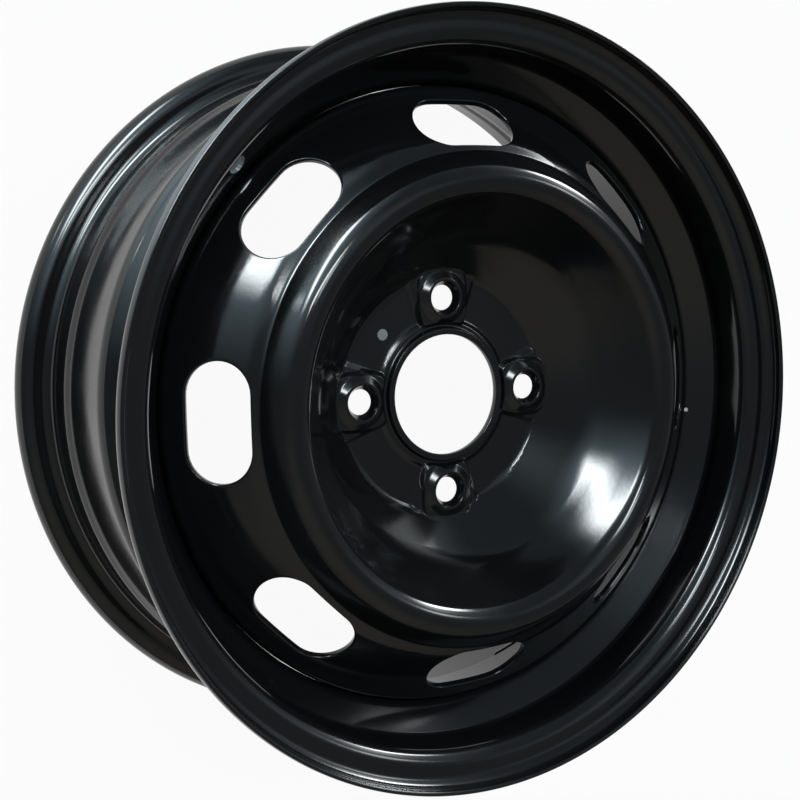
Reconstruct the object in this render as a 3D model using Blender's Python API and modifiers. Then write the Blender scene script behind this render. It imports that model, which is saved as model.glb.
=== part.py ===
"""A pressed steel car wheel: a rolled rim, a pressed disc and the weld beads that join them.

The wheel lies flat on its inboard flange. +Z points outboard, to the side that shows on the car. The
origin is on the wheel's axis at the level it rests on, and a bolt hole lies on +X. All lengths are in
metres.
"""
import math

import bmesh
import bpy
from mathutils import Matrix, Vector

# Rim: a 15 inch drop-centre rim, 6 inches between its J flanges
RIM_DIAMETER = 0.3802
RIM_WIDTH = 0.1524
RIM_SHEET = 0.0024
FLANGE_HEIGHT = 0.0175
CURL_RADIUS = 0.009
LIP_ANGLE = math.radians(20)
LIP_TAIL = 0.0008
HEEL_BEND = 0.0065
SEAT_TAPER = math.radians(5)
HUMP_FOOT = 0.0175
HUMP_RISE = 0.0017
HUMP_BEND = 0.005
OUTER_HUMP_CREST = 0.024
INNER_HUMP_CREST = 0.0215
INNER_HUMP_END = 0.027
WELL_DEPTH = 0.0173
WELL_FLOOR = 0.0247
WELL_BEND = 0.0065
OUTER_WELL_ANGLE = math.radians(50)
INNER_WELL_ANGLE = math.radians(46)
LEDGE_DROP = 0.0029
LEDGE_BEND = 0.008
VALVE_HOLE = 0.0113
VALVE_TURN = math.radians(135)

# Disc: one sheet pressed into hub floor, bowl, crown, vent cone and flange
OFFSET = 0.028
DISC_SHEET = 0.0036
PRESS_GAP = 0.0003
BORE_DIAMETER = 0.067
BORE_LIP = 0.0035
BORE_BEND = 0.0015
BOWL_MARGIN = 0.0233
BOWL_BEND = 0.020
CROWN_SPAN = 0.0156
CROWN_STEP = 0.0216
CROWN_BEND = 0.0062
SHOULDER_SPAN = 0.006
SHOULDER_STEP = 0.00325
SHOULDER_BEND = 0.004
CONE_SPAN = 0.0316
CONE_BEND = 0.006
CONE_ANGLE = math.radians(42)
CONE_FOOT_RISE = 0.0089
FLANGE_BEND = 0.0064
DISC_FLANGE = 0.025

# Vent slots, on the cone
VENTS = 8
VENT_INSET = 0.0102
VENT_LENGTH = 0.0608
VENT_WIDTH = 0.0333

# Bolt seats: raised bosses with a 60 degree cone
BOLTS = 4
BOLT_CIRCLE = 0.108
BOLT_HOLE = 0.014
SEAT_MOUTH = 0.019
SEAT_ANGLE = math.radians(60)
BOSS_BASE = 0.030
BOSS_TOP = 0.022
BOSS_RISE = 0.0025
DIMPLE_MOUTH = 0.026
DIMPLE_TOP = 0.017
DIMPLE_DEPTH = 0.0012
DIMPLE_SPARE = 0.0002

# Lands: the floor between the bolts is pressed back to meet the hub
LAND_DROP = 0.0015
LAND_MARGIN = 0.0065
LAND_REACH = 0.011
LAND_RAMP = 0.004
LAND_CLEARANCE = 0.001

# Weld beads between the disc's flange and the rim's well
BEADS = 8
BEAD_RADIUS = 0.002
BEAD_LENGTH = 0.045
BEAD_PITCH = 0.009

# Facets of the turned and round shapes
TURNS = 48
BEND_STEP = math.radians(32)
HOLE_SIDES = 20
BEND_SHARE = 0.98
SHORTEST_REACH = 1e-9
MERGE_DISTANCE = 0.00001
SHARP_ANGLE = math.radians(35)

# Paints
PAINT_COLOUR = (0.010, 0.011, 0.012, 1.0)
PAINT_ROUGHNESS = 0.15
BEAD_COLOUR = (0.014, 0.014, 0.015, 1.0)
BEAD_ROUGHNESS = 0.35

# Derived radii and levels
SEAT_RADIUS = RIM_DIAMETER / 2
WELL_RADIUS = SEAT_RADIUS - WELL_DEPTH
WELL_BORE = WELL_RADIUS - RIM_SHEET
CURL_REACH = CURL_RADIUS * math.sin(LIP_ANGLE) + LIP_TAIL * math.cos(LIP_ANGLE)
INNER_FACE = CURL_RADIUS + CURL_REACH
OUTER_FACE = INNER_FACE + RIM_WIDTH
MOUNT_LEVEL = INNER_FACE + RIM_WIDTH / 2 + OFFSET
FLOOR_LEVEL = MOUNT_LEVEL + LAND_DROP + DISC_SHEET
CONE_FOOT_LEVEL = FLOOR_LEVEL + CONE_FOOT_RISE
CONE_FOOT_RADIUS = WELL_BORE - PRESS_GAP
CONE_TOP_LEVEL = CONE_FOOT_LEVEL + CONE_SPAN * math.tan(CONE_ANGLE)
CONE_TOP_RADIUS = CONE_FOOT_RADIUS - CONE_SPAN
SHOULDER_LEVEL = CONE_TOP_LEVEL + SHOULDER_STEP
SHOULDER_RADIUS = CONE_TOP_RADIUS - SHOULDER_SPAN
CROWN_CORNER_LEVEL = SHOULDER_LEVEL + CROWN_STEP
CROWN_CORNER_RADIUS = SHOULDER_RADIUS - CROWN_SPAN
FLANGE_END = CONE_FOOT_LEVEL - DISC_FLANGE
BOWL_FOOT_RADIUS = BOLT_CIRCLE / 2 + BOWL_MARGIN
LAND_INNER = BORE_DIAMETER / 2 + LAND_MARGIN
LAND_OUTER = BOLT_CIRCLE / 2 + LAND_REACH
VENT_CIRCLE = CONE_TOP_RADIUS + VENT_INSET
VENT_LEVEL = CONE_TOP_LEVEL - VENT_INSET * math.tan(CONE_ANGLE)


def clear_scene():
    """Removes every object that the scene starts with."""
    for item in list(bpy.data.objects):
        bpy.data.objects.remove(item, do_unlink=True)


def make_collection(name):
    """Adds a collection to the scene."""
    collection = bpy.data.collections.new(name)
    bpy.context.scene.collection.children.link(collection)
    return collection


def make_material(name, colour, roughness):
    """A Principled material of one plain colour."""
    material = bpy.data.materials.new(name)
    material.use_nodes = True
    shader = material.node_tree.nodes["Principled BSDF"]
    shader.inputs["Base Color"].default_value = colour
    shader.inputs["Roughness"].default_value = roughness
    return material


def right_of(run):
    """The unit vector to the right of a direction in the (radius, height) plane."""
    return Vector((run.y, -run.x))


def bend_faces(corner, run_in, run_out, bend, thickness):
    """Points of one bend, on the drawn face and on the far face of a sheet that lies to its right.

    bend is the radius of the tighter face. Both faces turn about one centre, so the sheet keeps its
    thickness. A slight bend is one crease.
    """
    turn = run_in.angle_signed(run_out)
    if abs(turn) < BEND_STEP / 2:
        crease = (right_of(run_in) + right_of(run_out)).normalized() / math.cos(turn / 2)
        return [corner], [corner + crease * thickness]
    side = 1 if turn > 0 else -1
    near = bend + thickness if side > 0 else bend
    far = near - side * thickness
    centre = corner - run_in * near * math.tan(abs(turn) / 2) + right_of(run_in) * near * side
    spoke = -right_of(run_in) * side
    steps = math.ceil(abs(turn) / BEND_STEP)
    spokes = [Matrix.Rotation(-turn * i / steps, 2) @ spoke for i in range(steps + 1)]
    return [centre + s * near for s in spokes], [centre + s * far for s in spokes]


def fitted_bends(points, runs, bends, thickness):
    """Bend radii, made smaller where two bends would meet on the straight between them."""
    reach = [0.0]
    for i in range(1, len(points) - 1):
        turn = runs[i - 1].angle_signed(runs[i])
        near = bends[i] + (thickness if turn > 0 else 0.0)
        reach.append(near * math.tan(abs(turn) / 2))
    reach.append(0.0)
    fitted = list(bends)
    for i in range(1, len(points) - 1):
        before = (points[i] - points[i - 1]).length / max(reach[i - 1] + reach[i], SHORTEST_REACH)
        after = (points[i + 1] - points[i]).length / max(reach[i] + reach[i + 1], SHORTEST_REACH)
        fitted[i] = bends[i] * min(1.0, BEND_SHARE * before, BEND_SHARE * after)
    return fitted


def sheet_section(corners, thickness):
    """Closed outline of a bent sheet, from corners (radius, height, bend) along its drawn face.

    The sheet lies to the right of the drawn face. The outline runs clockwise, as a turned profile needs.
    """
    points = [Vector(corner[:2]) for corner in corners]
    runs = [(b - a).normalized() for a, b in zip(points, points[1:])]
    bends = fitted_bends(points, runs, [corner[2] for corner in corners], thickness)
    near_face = [points[0]]
    far_face = [points[0] + right_of(runs[0]) * thickness]
    for i in range(1, len(points) - 1):
        near, far = bend_faces(points[i], runs[i - 1], runs[i], bends[i], thickness)
        near_face += near
        far_face += far
    near_face.append(points[-1])
    far_face.append(points[-1] + right_of(runs[-1]) * thickness)
    return near_face + far_face[::-1]


def turned_object(name, outline, collection):
    """A closed outline in the XZ plane, turned about Z by a Screw modifier."""
    mesh = bpy.data.meshes.new(name)
    count = len(outline)
    edges = [(i, (i + 1) % count) for i in range(count)]
    mesh.from_pydata([(p.x, 0.0, p.y) for p in outline], edges, [])
    item = bpy.data.objects.new(name, mesh)
    collection.objects.link(item)
    screw = item.modifiers.new("turn", "SCREW")
    screw.axis = "Z"
    screw.angle = math.tau
    screw.steps = TURNS
    screw.render_steps = TURNS
    screw.use_merge_vertices = True
    screw.merge_threshold = MERGE_DISTANCE
    return item


def bake(item):
    """Replaces an object's mesh by its evaluated one, so that its points can be moved."""
    graph = bpy.context.evaluated_depsgraph_get()
    mesh = bpy.data.meshes.new_from_object(item.evaluated_get(graph))
    item.modifiers.clear()
    item.data = mesh


def seat_radius(distance):
    """Radius of the tapered bead seat at a distance from its flange."""
    return SEAT_RADIUS - distance * math.tan(SEAT_TAPER)


def lip_corners(level, side):
    """Free edge and curl corner of a flange whose tyre-side face is at a level; side is +1 outboard."""
    centre = Vector((SEAT_RADIUS + FLANGE_HEIGHT - CURL_RADIUS, level + side * CURL_RADIUS))
    half_turn = (math.pi / 2 + LIP_ANGLE) / 2
    aim = (LIP_ANGLE - math.pi / 2) / 2
    corner = centre + Vector((math.cos(aim), side * math.sin(aim))) * CURL_RADIUS / math.cos(half_turn)
    end = centre + Vector((math.cos(LIP_ANGLE), side * math.sin(LIP_ANGLE))) * CURL_RADIUS
    end += Vector((-math.sin(LIP_ANGLE), side * math.cos(LIP_ANGLE))) * LIP_TAIL
    return (end.x, end.y, 0.0), (corner.x, corner.y, CURL_RADIUS - RIM_SHEET)


def well_wall():
    """Top and foot of the well's outboard wall, on the tyre side, as (radius, height)."""
    top = Vector((seat_radius(OUTER_HUMP_CREST) + HUMP_RISE, OUTER_FACE - OUTER_HUMP_CREST))
    drop = top.x - WELL_RADIUS
    foot = Vector((WELL_RADIUS, top.y - drop / math.tan(OUTER_WELL_ANGLE)))
    return top, foot


def rim_corners():
    """The rim's tyre side, from the outboard lip down to the inboard one."""
    outer_end, outer_curl = lip_corners(OUTER_FACE, 1)
    inner_end, inner_curl = lip_corners(INNER_FACE, -1)
    crest, well_top = well_wall()
    well_end = well_top.y - WELL_FLOOR
    ledge = SEAT_RADIUS - LEDGE_DROP
    ledge_level = well_end - (ledge - WELL_RADIUS) / math.tan(INNER_WELL_ANGLE)
    inner_crest = seat_radius(INNER_HUMP_CREST) + HUMP_RISE
    return [
        outer_end,
        outer_curl,
        (SEAT_RADIUS, OUTER_FACE, HEEL_BEND),
        (seat_radius(HUMP_FOOT), OUTER_FACE - HUMP_FOOT, HUMP_BEND),
        (crest.x, crest.y, HUMP_BEND),
        (WELL_RADIUS, well_top.y, WELL_BEND),
        (WELL_RADIUS, well_end, WELL_BEND),
        (ledge, ledge_level, LEDGE_BEND),
        (ledge, INNER_FACE + INNER_HUMP_END, HUMP_BEND),
        (inner_crest, INNER_FACE + INNER_HUMP_CREST, HUMP_BEND),
        (seat_radius(HUMP_FOOT), INNER_FACE + HUMP_FOOT, HUMP_BEND),
        (SEAT_RADIUS, INNER_FACE, HEEL_BEND),
        inner_curl,
        inner_end,
    ]


def disc_corners():
    """The disc's outboard face, from the bore's lip out to the end of its flange."""
    lip = BORE_DIAMETER / 2 + DISC_SHEET
    return [
        (lip, FLOOR_LEVEL + BORE_LIP, 0.0),
        (lip, FLOOR_LEVEL, BORE_BEND),
        (LAND_INNER, FLOOR_LEVEL, 0.0),
        (LAND_INNER + LAND_RAMP, FLOOR_LEVEL, 0.0),
        (LAND_OUTER - LAND_RAMP, FLOOR_LEVEL, 0.0),
        (LAND_OUTER, FLOOR_LEVEL, 0.0),
        (BOWL_FOOT_RADIUS, FLOOR_LEVEL, BOWL_BEND),
        (CROWN_CORNER_RADIUS, CROWN_CORNER_LEVEL, CROWN_BEND),
        (SHOULDER_RADIUS, SHOULDER_LEVEL, SHOULDER_BEND),
        (CONE_TOP_RADIUS, CONE_TOP_LEVEL, CONE_BEND),
        (CONE_FOOT_RADIUS, CONE_FOOT_LEVEL, FLANGE_BEND),
        (CONE_FOOT_RADIUS, FLANGE_END, 0.0),
    ]


def ramp(distance):
    """0 outside a land, 1 inside it, rising evenly over the ramp's width."""
    return min(1.0, max(0.0, distance / LAND_RAMP))


def press_lands(item):
    """Presses the floor between the bolts back by the land's drop, front and back alike."""
    boss_turn = math.asin((BOSS_BASE / 2 + LAND_CLEARANCE) / (BOLT_CIRCLE / 2))
    pitch = math.tau / BOLTS
    for vertex in item.data.vertices:
        radius = math.hypot(vertex.co.x, vertex.co.y)
        turn = math.atan2(vertex.co.y, vertex.co.x) % pitch
        from_boss = (min(turn, pitch - turn) - boss_turn) * BOLT_CIRCLE / 2
        across = min(ramp(radius - LAND_INNER), ramp(LAND_OUTER - radius))
        vertex.co.z -= LAND_DROP * across * ramp(from_boss)


def cone_mesh(name, bottom_radius, top_radius, bottom, top):
    """A closed cone, or a cylinder, between two levels on the Z axis."""
    mesh = bpy.data.meshes.new(name)
    bm = bmesh.new()
    place = Matrix.Translation((0.0, 0.0, (bottom + top) / 2))
    bmesh.ops.create_cone(
        bm, cap_ends=True, segments=HOLE_SIDES, radius1=bottom_radius, radius2=top_radius,
        depth=top - bottom, matrix=place)
    bm.to_mesh(mesh)
    bm.free()
    return mesh


def slot_mesh(name, length, width, depth):
    """A round-ended bar along Y, centred on the origin and as deep as given along Z."""
    mesh = bpy.data.meshes.new(name)
    bm = bmesh.new()
    half_side = Matrix.Rotation(math.pi / HOLE_SIDES, 4, "Z")
    radius = width / 2 / math.cos(math.pi / HOLE_SIDES)
    bmesh.ops.create_cone(
        bm, cap_ends=True, segments=HOLE_SIDES, radius1=radius, radius2=radius, depth=depth,
        matrix=half_side)
    for vertex in bm.verts:
        vertex.co.y += math.copysign((length - width) / 2, vertex.co.y)
    bm.to_mesh(mesh)
    bm.free()
    return mesh


def add_guide(name, mesh, place, collection):
    """Links a hidden tool body, for a Boolean."""
    item = bpy.data.objects.new(name, mesh)
    item.matrix_world = place
    item.hide_render = True
    item.display_type = "WIRE"
    collection.objects.link(item)
    return item


def add_boolean(target, tool, operation):
    """Cuts or joins one tool body."""
    boolean = target.modifiers.new(tool.name, "BOOLEAN")
    boolean.operation = operation
    boolean.solver = "EXACT"
    boolean.object = tool


def turned_to(turn, radius, level=0.0):
    """The place of a copy in a pattern about the axis, with its own X pointing outwards."""
    return Matrix.Rotation(turn, 4, "Z") @ Matrix.Translation((radius, 0.0, level))


def add_bolt_seats(disc, guides):
    """Raises a boss at each bolt, dimples its back and cuts its cone and hole."""
    crown = FLOOR_LEVEL + BOSS_RISE
    back = FLOOR_LEVEL - DISC_SHEET
    root = FLOOR_LEVEL - DISC_SHEET / 2
    slope = (BOSS_BASE - BOSS_TOP) / 2 / BOSS_RISE
    root_radius = BOSS_BASE / 2 + slope * DISC_SHEET / 2
    spare = LAND_DROP + BORE_LIP
    seat_slope = math.tan(SEAT_ANGLE / 2)
    seat_depth = (SEAT_MOUTH - BOLT_HOLE) / 2 / seat_slope
    dimple_slope = (DIMPLE_MOUTH - DIMPLE_TOP) / 2 / DIMPLE_DEPTH
    tools = [
        ("dimple", "DIFFERENCE", cone_mesh(
            "dimple", DIMPLE_MOUTH / 2 + DIMPLE_SPARE * dimple_slope, DIMPLE_TOP / 2,
            back - DIMPLE_SPARE, back + DIMPLE_DEPTH)),
        ("boss", "UNION", cone_mesh("boss", root_radius, BOSS_TOP / 2, root, crown)),
        ("hole", "DIFFERENCE", cone_mesh(
            "hole", BOLT_HOLE / 2, BOLT_HOLE / 2, back - spare, crown + spare)),
        ("seat", "DIFFERENCE", cone_mesh(
            "seat", BOLT_HOLE / 2, SEAT_MOUTH / 2 + spare * seat_slope, crown - seat_depth, crown + spare)),
    ]
    for name, operation, mesh in tools:
        for i in range(BOLTS):
            place = turned_to(math.tau * i / BOLTS, BOLT_CIRCLE / 2)
            tool = add_guide(f"{name}_{i + 1}", mesh, place, guides)
            add_boolean(disc, tool, operation)


def add_vents(disc, guides):
    """Cuts the slots square through the cone."""
    mesh = slot_mesh("vent", VENT_LENGTH, VENT_WIDTH, 4 * DISC_SHEET)
    lean = Matrix.Rotation(CONE_ANGLE, 4, "Y")
    for i in range(VENTS):
        place = turned_to(math.tau * i / VENTS, VENT_CIRCLE, VENT_LEVEL) @ lean
        add_boolean(disc, add_guide(f"vent_{i + 1}", mesh, place, guides), "DIFFERENCE")


def make_disc(parts, guides, paint):
    """The pressed disc, with its lands, bolt seats and vents."""
    disc = turned_object("disc", sheet_section(disc_corners(), DISC_SHEET), parts)
    bake(disc)
    press_lands(disc)
    disc.data.materials.append(paint)
    add_bolt_seats(disc, guides)
    add_vents(disc, guides)
    return disc


def make_rim(parts, guides, paint):
    """The rolled rim, with its valve hole square through the well's outboard wall."""
    rim = turned_object("rim", sheet_section(rim_corners(), RIM_SHEET), parts)
    rim.data.materials.append(paint)
    top, foot = well_wall()
    middle = (top + foot) / 2
    mesh = cone_mesh("valve", VALVE_HOLE / 2, VALVE_HOLE / 2, -3 * RIM_SHEET, 3 * RIM_SHEET)
    lean = Matrix.Rotation(OUTER_WELL_ANGLE - math.pi / 2, 4, "Y")
    place = turned_to(VALVE_TURN, middle.x, middle.y) @ lean
    add_boolean(rim, add_guide("valve_hole", mesh, place, guides), "DIFFERENCE")
    return rim


def make_beads(parts, material):
    """Weld beads in the corner between the end of the disc's flange and the rim's well, between the vents."""
    radius = WELL_BORE - PRESS_GAP - BEAD_RADIUS
    level = FLANGE_END - PRESS_GAP - BEAD_RADIUS
    half = BEAD_LENGTH / 2 / radius
    steps = math.ceil(BEAD_LENGTH / BEAD_PITCH)
    path = bpy.data.curves.new("weld_bead", "CURVE")
    path.dimensions = "3D"
    path.bevel_depth = BEAD_RADIUS
    path.bevel_resolution = 2
    path.use_fill_caps = True
    spline = path.splines.new("POLY")
    spline.points.add(steps)
    for i, point in enumerate(spline.points):
        turn = half * (2 * i / steps - 1)
        point.co = (radius * math.cos(turn), radius * math.sin(turn), level, 1.0)
    path.materials.append(material)
    for i in range(BEADS):
        bead = bpy.data.objects.new(f"weld_bead_{i + 1}", path)
        bead.rotation_euler.z = math.tau * (i + 0.5) / BEADS
        parts.objects.link(bead)


def smooth(item):
    """Shades a turned sheet smooth, with its cut edges sharp."""
    item.data.shade_smooth()
    item.data.set_sharp_from_angle(angle=SHARP_ANGLE)


def main():
    """Builds the wheel."""
    clear_scene()
    parts = make_collection("steel_wheel")
    guides = make_collection("guides")
    paint = make_material("black_paint", PAINT_COLOUR, PAINT_ROUGHNESS)
    bead_paint = make_material("painted_weld", BEAD_COLOUR, BEAD_ROUGHNESS)
    make_rim(parts, guides, paint)
    disc = make_disc(parts, guides, paint)
    smooth(disc)
    make_beads(parts, bead_paint)


main()
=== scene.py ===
"""Looks of a pressed steel car wheel in deep gloss black paint.

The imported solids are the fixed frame. The rim, the disc and the weld beads are modelled here again at full
smoothness, at the solids' own sizes, and stand in their places. Two forms are this script's own, taken from
the highlights: the curve of the bowl between hub and crown, and the step round each bolt's pad. All lengths
are in metres, and +Z points to the outboard face.
"""
import logging
import math
from collections.abc import Callable
from dataclasses import dataclass, field
from enum import Enum, IntEnum

import bmesh
import bpy
from mathutils import Matrix, Vector


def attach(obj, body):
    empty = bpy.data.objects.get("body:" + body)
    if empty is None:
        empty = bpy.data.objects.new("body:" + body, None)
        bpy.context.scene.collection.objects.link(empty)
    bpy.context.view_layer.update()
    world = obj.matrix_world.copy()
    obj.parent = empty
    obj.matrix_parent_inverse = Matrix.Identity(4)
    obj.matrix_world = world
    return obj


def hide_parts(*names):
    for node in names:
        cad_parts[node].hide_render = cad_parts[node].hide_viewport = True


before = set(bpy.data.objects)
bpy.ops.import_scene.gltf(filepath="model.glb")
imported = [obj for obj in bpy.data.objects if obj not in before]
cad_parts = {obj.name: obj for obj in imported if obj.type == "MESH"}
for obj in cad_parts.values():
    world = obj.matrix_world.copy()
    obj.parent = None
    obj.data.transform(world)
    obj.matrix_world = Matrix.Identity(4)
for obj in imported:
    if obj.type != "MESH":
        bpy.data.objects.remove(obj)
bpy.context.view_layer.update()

log = logging.getLogger("steel_wheel")

Ring = list[Vector]
Triple = tuple[float, float, float]
Colour = tuple[float, float, float, float]

BODY = "root"
WHITE: Colour = (1.0, 1.0, 1.0, 1.0)

# Steps round the wheel, the longest step along a bend, and the distance under which two points are one
SEGMENTS = 256
LONGEST_STEP = 0.006
MERGE = 0.000004

# The share of a straight that the bends at its ends may take, and lengths that count as nothing
BEND_ROOM = 0.98
TOUCH = 1e-6
TINY = 1e-9

# Steps of a rounded edge, in degrees
EDGE_TURNS = (0.0, 22.5, 45.0, 67.5, 90.0)

# How finely a surface is read before its points are crowded, and how strongly a bend draws them
CROWD_SAMPLES = 160
CROWD_DRAW = 0.008

# Radius of the circle that a new shape starts from, and cubic centimetres in a cubic metre
START_SIZE = 0.1
CM3_PER_M3 = 1e6

# The rim's corner where the well's outboard wall starts
RIM_WALL = 4


class Side(Enum):
    """The two faces of the pressed sheet, each with its place in a pair."""

    FRONT = 0
    REAR = 1


class DiscCorner(IntEnum):
    """The corners of the disc's section where its strips and panels start or end."""

    LIP_END = 0
    LIP_FOOT = 1
    BOWL_FOOT = 2
    WAIST = 3
    SHOULDER = 6
    CONE_TOP = 7
    CONE_FOOT = 8


# Small helpers for shapes


def mix(start: float, end: float, share: float) -> float:
    """The value a share of the way from start to end."""
    return start + (end - start) * share


def ease(value: float, low: float, high: float) -> float:
    """A smooth step from 0 at low to 1 at high.

    Args:
        value: Where to read the step.
        low: The value where it starts to rise.
        high: The value where it reaches 1.

    Returns:
        A number from 0 to 1.
    """
    share = min(1.0, max(0.0, (value - low) / (high - low)))
    return share * share * (3.0 - 2.0 * share)


def right_of(run: Vector) -> Vector:
    """The unit vector to the right of a direction in the (radius, height) plane."""
    return Vector((run.y, -run.x))


def turned(point: Vector, turn: float) -> Vector:
    """A (radius, height) point set in space at a turn about the wheel's axis."""
    return Vector((point.x * math.cos(turn), point.x * math.sin(turn), point.y))


def deselect() -> None:
    """Leaves every object unselected, so that an operator acts on the new piece alone."""
    if bpy.context.object and bpy.context.object.mode != "OBJECT":
        bpy.ops.object.mode_set(mode="OBJECT")
    bpy.ops.object.select_all(action="DESELECT")


def pick(item: bpy.types.Object) -> None:
    """Makes one object the only selected and active one.

    Args:
        item: The object.
    """
    deselect()
    item.select_set(True)
    bpy.context.view_layer.objects.active = item


@dataclass(frozen=True)
class Corner:
    """One corner of a sheet's drawn face: its place and the radius of the tighter face of the bend."""

    radius: float
    level: float
    bend: float = 0.0

    def point(self) -> Vector:
        """The corner as a (radius, height) vector."""
        return Vector((self.radius, self.level))


@dataclass
class BentSheet:
    """A sheet bent along a path of corners. It lies to the right of its drawn face."""

    corners: list[Corner]
    thickness: float
    arc_step: float = math.radians(6.0)
    edge_round: float = 0.0006
    near: list[Ring] = field(default_factory=list)
    far: list[Ring] = field(default_factory=list)

    def __post_init__(self) -> None:
        """Works out the points of each bend on both faces."""
        points = [corner.point() for corner in self.corners]
        self.runs = [(b - a).normalized() for a, b in zip(points, points[1:])]
        bends = self._fitted(points)
        self.near = [[points[0]]]
        self.far = [[points[0] + right_of(self.runs[0]) * self.thickness]]
        for i in range(1, len(points) - 1):
            near, far = self._bend(points[i], self.runs[i - 1], self.runs[i], bends[i])
            self.near.append(near)
            self.far.append(far)
        self.near.append([points[-1]])
        self.far.append([points[-1] + right_of(self.runs[-1]) * self.thickness])

    def _reach(self, i: int) -> float:
        """How far the bend at a corner reaches along its straights.

        Args:
            i: The corner.

        Returns:
            The distance, 0 at the path's ends.
        """
        if i == 0 or i == len(self.corners) - 1:
            return 0.0
        turn = self.runs[i - 1].angle_signed(self.runs[i])
        wide = self.corners[i].bend + (self.thickness if turn > 0 else 0.0)
        return wide * math.tan(abs(turn) / 2)

    def _fitted(self, points: Ring) -> list[float]:
        """Bend radii, made smaller where two bends would meet on the straight between them.

        Args:
            points: The corners of the drawn face.

        Returns:
            One radius for each corner.
        """
        bends = [corner.bend for corner in self.corners]
        for i in range(1, len(points) - 1):
            before = (points[i] - points[i - 1]).length / max(self._reach(i - 1) + self._reach(i), TINY)
            after = (points[i + 1] - points[i]).length / max(self._reach(i) + self._reach(i + 1), TINY)
            bends[i] *= min(1.0, BEND_ROOM * before, BEND_ROOM * after)
        return bends

    def _bend(self, corner: Vector, run_in: Vector, run_out: Vector, bend: float) -> tuple[Ring, Ring]:
        """Points of one bend, on the drawn face and on the far face.

        Args:
            corner: Where the two straights would meet on the drawn face.
            run_in: Direction of the straight before it.
            run_out: Direction of the straight after it.
            bend: Radius of the tighter face.

        Returns:
            The drawn face's points and the far face's points, one to one.
        """
        turn = run_in.angle_signed(run_out)
        side = 1 if turn > 0 else -1
        near = bend + self.thickness if side > 0 else bend
        far = near - side * self.thickness
        centre = corner - run_in * near * math.tan(abs(turn) / 2) + right_of(run_in) * near * side
        spoke = -right_of(run_in) * side
        steps = max(2, math.ceil(abs(turn) / self.arc_step), math.ceil(abs(turn) * near / LONGEST_STEP))
        spokes = [Matrix.Rotation(-turn * i / steps, 2) @ spoke for i in range(steps + 1)]
        return [centre + s * near for s in spokes], [centre + s * far for s in spokes]

    def along(self, i: int, distance: float) -> tuple[Vector, Vector]:
        """The pair of points on the straight after a corner, a distance past the end of its bend.

        Args:
            i: The corner before the straight.
            distance: Metres past the bend's end; a negative one counts back from the next bend.

        Returns:
            The point on the drawn face and the one behind it.
        """
        if distance >= 0:
            return self.near[i][-1] + self.runs[i] * distance, self.far[i][-1] + self.runs[i] * distance
        return self.near[i + 1][0] + self.runs[i] * distance, self.far[i + 1][0] + self.runs[i] * distance

    def straight(self, i: int) -> tuple[Ring, Ring]:
        """Extra points along the straight after a corner, close to its ends and evenly between.

        Args:
            i: The corner before the straight.

        Returns:
            Points on the drawn face and on the far face.
        """
        return spaced(self.near[i][-1], self.near[i + 1][0]), spaced(self.far[i][-1], self.far[i + 1][0])

    def cap(self, last: bool) -> Ring:
        """The rounded edge of the sheet, from the drawn face to the far one.

        Args:
            last: True for the path's end, False for its start.

        Returns:
            Points round the edge.
        """
        near, far = (self.near[-1][0], self.far[-1][0]) if last else (self.near[0][0], self.far[0][0])
        out = self.runs[-1] if last else -self.runs[0]
        across = (far - near).normalized()
        size = self.edge_round
        turns = [math.radians(angle) for angle in EDGE_TURNS]
        first = [near + across * size * (1 - math.cos(a)) - out * size * (1 - math.sin(a)) for a in turns]
        second = [far - across * size * (1 - math.sin(a)) - out * size * (1 - math.cos(a)) for a in turns]
        return first + second

    def outline(self) -> Ring:
        """The whole closed outline, clockwise.

        Returns:
            Points round the section.
        """
        near: Ring = []
        far: Ring = []
        for i in range(len(self.corners) - 1):
            if i:
                near += self.near[i]
                far += self.far[i]
            extra_near, extra_far = self.straight(i)
            near += extra_near
            far += extra_far
        return near + self.cap(True) + far[::-1] + self.cap(False)[::-1]


def spaced(start: Vector, end: Vector, margin: float = 0.0007, pitch: float = 0.008) -> Ring:
    """Points between two others: one near each end and even ones between, none where they lie close.

    Args:
        start: First point, not included.
        end: Last point, not included.
        margin: Distance of the first and last new point from the ends.
        pitch: Greatest distance between new points.

    Returns:
        The new points.
    """
    length = (end - start).length
    if length < 3 * margin:
        return []
    count = max(1, math.ceil((length - 2 * margin) / pitch))
    places = [mix(margin, length - margin, i / count) for i in range(count + 1)]
    return [start + (end - start) * (place / length) for place in places]


def crowd(height: Callable[[float], float], length: float, count: int) -> list[float]:
    """Shares of a line that lie closer together where the surface under it bends.

    Args:
        height: The surface's height at a share of the line.
        length: The line's length.
        count: How many steps to make.

    Returns:
        Rising shares, from 0 to 1.
    """
    step = length / CROWD_SAMPLES
    heights = [height(i / CROWD_SAMPLES) for i in range(CROWD_SAMPLES + 1)]
    slopes = [math.atan2(b - a, step) for a, b in zip(heights, heights[1:])]
    sums = [0.0]
    for i, slope in enumerate(slopes):
        before = slopes[max(0, i - 1)]
        after = slopes[min(len(slopes) - 1, i + 1)]
        sums.append(sums[-1] + step + CROWD_DRAW * (abs(slope - before) + abs(after - slope)) / 2)
    shares = [0.0]
    place = 0
    for i in range(1, count):
        goal = sums[-1] * i / count
        while sums[place + 1] < goal:
            place += 1
        shares.append((place + (goal - sums[place]) / (sums[place + 1] - sums[place])) / CROWD_SAMPLES)
    return shares + [1.0]


# Making meshes with Blender's own tools


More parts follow.
